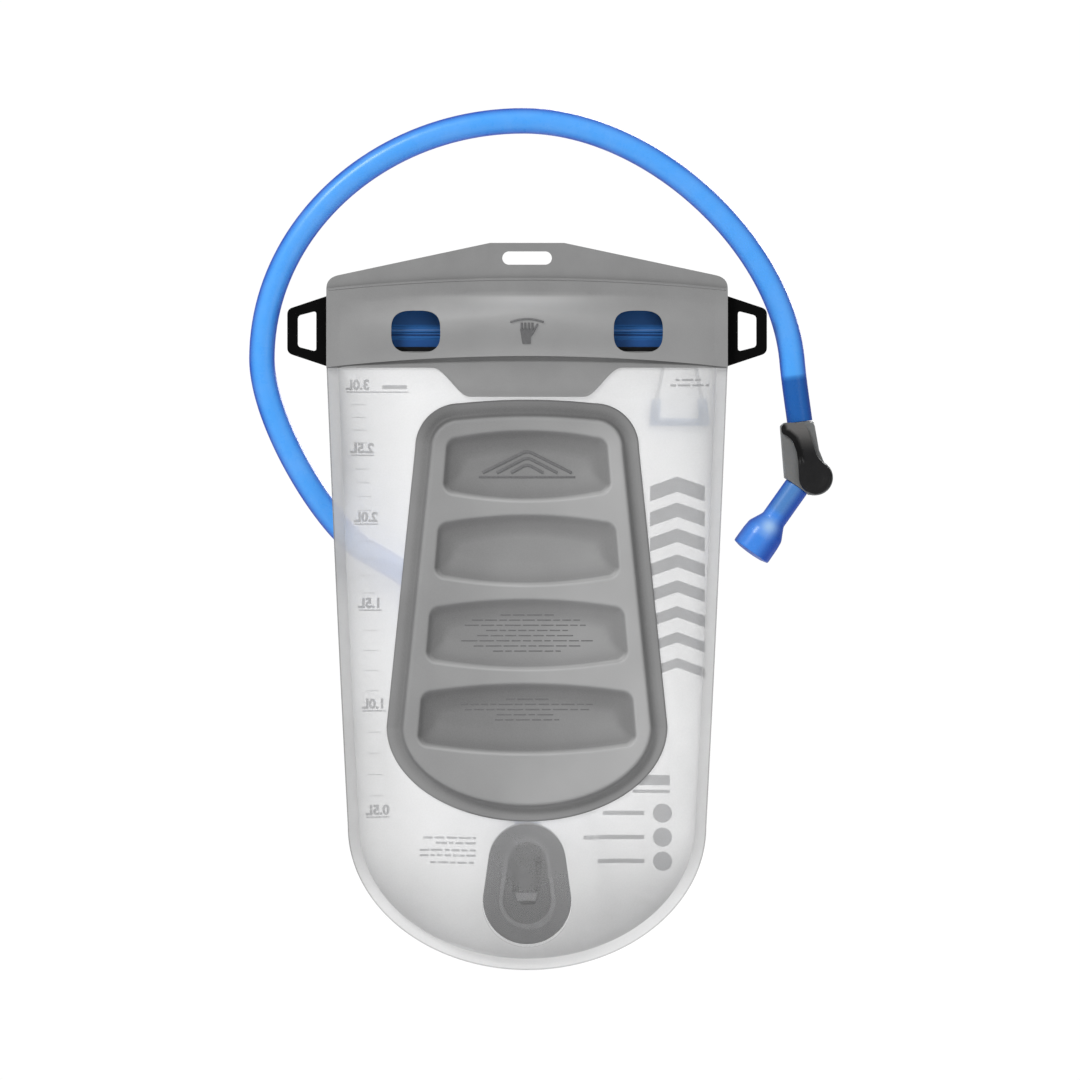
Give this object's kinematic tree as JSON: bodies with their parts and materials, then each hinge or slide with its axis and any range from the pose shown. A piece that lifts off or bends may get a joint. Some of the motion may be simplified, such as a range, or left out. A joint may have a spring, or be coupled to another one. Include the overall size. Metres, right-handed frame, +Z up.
{
  "type": "hydration bladder",
  "caption": "Clear film drinking reservoir, hung by a slot, with a zip top, carry band, back plate, quick-release hose, on/off valve and bite valve.",
  "frame": {"origin": "middle of the hang slot's upper wall, halfway through the header sheet", "axes": "+Z up as it hangs, +X along the zip towards its closed end, -Y towards the wearer's pack panel (back plate side)"},
  "size_m": [0.3309, 0.0575, 0.487],
  "materials": {
    "clear_film": "clear frosted film, welded round the edge",
    "grey_sheet": "satin grey sheet with a fine grain",
    "grey_plate": "satin thermoformed sheet",
    "zip_blue": "satin extruded rail and coated tape",
    "black_plastic": "satin moulded plastic",
    "cord_grey": "braided cord",
    "grip_blue": "soft moulded plastic",
    "port_grey": "satin moulded plastic",
    "seal_rubber": "matt rubber",
    "white_plastic": "smooth",
    "spring_steel": "bright wire",
    "hose_blue": "clear tinted tube",
    "valve_grey": "translucent moulded plastic",
    "bite_blue": "satin silicone"
  },
  "bodies": {
    "bag": {"front_film": "clear_film", "back_film": "clear_film", "header_sheet": "grey_sheet", "front_strip": "grey_sheet", "collar_panel": "grey_sheet", "handle_band": "grey_sheet", "back_plate": "grey_plate", "zip_rail_upper": "zip_blue", "zip_rail_lower": "zip_blue", "zip_end_tab_left": "black_plastic", "zip_end_tab_right": "black_plastic", "port_base": "port_grey", "port_plug": "port_grey", "seat_ring": "seal_rubber"},
    "slider": {"zip_slider": "black_plastic"},
    "pull": {"pull_cord": "cord_grey", "pull_grip": "grip_blue"},
    "latch": {"release_latch": "port_grey"},
    "check_valve": {"poppet": "white_plastic", "poppet_spring": "spring_steel"},
    "hose_line": {"hose_connector": "port_grey", "connector_oring": "seal_rubber", "hose": "hose_blue"},
    "valve": {"valve_body": "valve_grey"},
    "lever": {"lever": "black_plastic", "valve_rotor": "white_plastic", "rotor_oring": "seal_rubber"},
    "mouthpiece": {"bite_valve": "bite_blue"}
  },
  "joints": [
    {"name": "slider_slide", "type": "slide", "parent": "bag", "child": "slider", "axis": [1, 0, 0], "range_m": [-0.173, 0]},
    {"name": "pull_swing", "type": "hinge", "parent": "slider", "child": "pull", "pos_m": [0.0865, 0.01195, -0.04575], "axis": [1, 0, 0], "range_deg": [0, 165]},
    {"name": "latch_press", "type": "slide", "parent": "bag", "child": "latch", "axis": [0, -1, 0], "range_m": [0, 0.002], "stiffness_N_per_m": 600},
    {"name": "hose_unplug", "type": "slide", "parent": "bag", "child": "hose_line", "axis": [0, 0, 1], "range_m": [0, 0.025]},
    {"name": "poppet_close", "type": "slide", "parent": "bag", "child": "check_valve", "axis": [0, 0, 1], "range_m": [0, 0.003], "deforming": ["poppet_spring"]},
    {"name": "valve_swivel", "type": "hinge", "parent": "hose_line", "child": "valve", "pos_m": [0.1548, 0.01575, -0.096], "axis": [0.134, 0, -0.991], "range_deg": [-90, 90]},
    {"name": "lever_turn", "type": "hinge", "parent": "valve", "child": "lever", "pos_m": [0.1633, 0.01575, -0.1277], "axis": [0, 1, 0], "range_deg": [0, 90]},
    {"name": "bite_swivel", "type": "hinge", "parent": "valve", "child": "mouthpiece", "pos_m": [0.1531, 0.01575, -0.1326], "axis": [-0.5769, 0, -0.8168], "range_deg": [-180, 180]}
  ],
  "couplings": [
    {"joint": "poppet_close", "follows": "hose_unplug", "ratio": 0.12}
  ]
}
